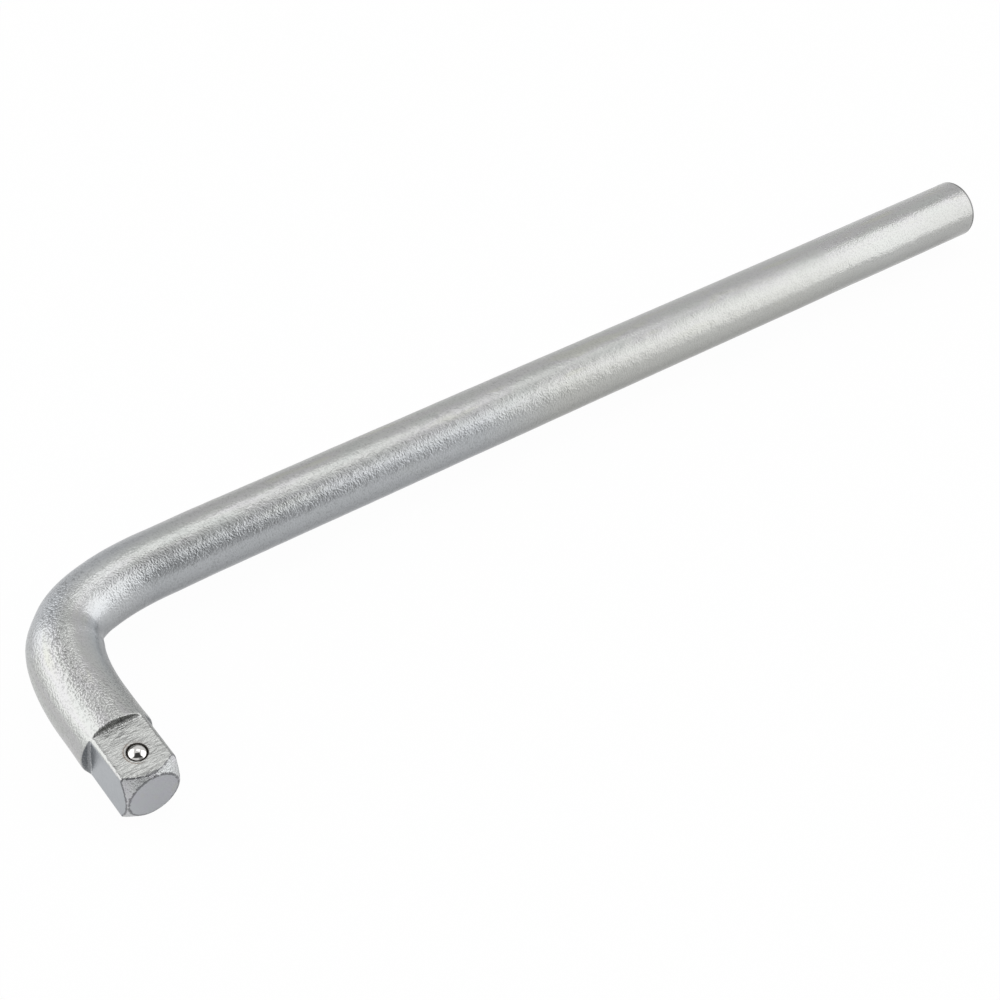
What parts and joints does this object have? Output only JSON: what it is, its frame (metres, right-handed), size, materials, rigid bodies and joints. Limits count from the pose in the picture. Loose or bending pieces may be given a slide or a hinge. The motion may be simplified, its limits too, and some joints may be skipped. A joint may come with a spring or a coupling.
{
  "type": "l-handle socket wrench",
  "caption": "L-shaped round steel bar with a male square drive and a spring-loaded detent ball on its short arm, for turning sockets.",
  "frame": {"origin": "middle of the drive's round end face", "axes": "-Y out of the drive, +X along the long arm to its free end, +Z out of the plane of the L on the ball's side"},
  "size_m": [0.45, 0.0925, 0.0254],
  "materials": {
    "satin_chrome": "satin chrome over a shot-blasted forging",
    "polished_steel": "mirror polished",
    "spring_wire": "drawn wire"
  },
  "bodies": {
    "handle": {"handle_bar": "satin_chrome", "detent_spring": "spring_wire"},
    "ball": {"detent_ball": "polished_steel"}
  },
  "joints": [
    {"name": "detent_ball_slide", "type": "slide", "parent": "handle", "child": "ball", "axis": [0, 0, -1], "range_m": [0, 0.0015], "stiffness_N_per_m": 2500, "springref_m": -0.003, "deforming": ["detent_spring"]}
  ]
}
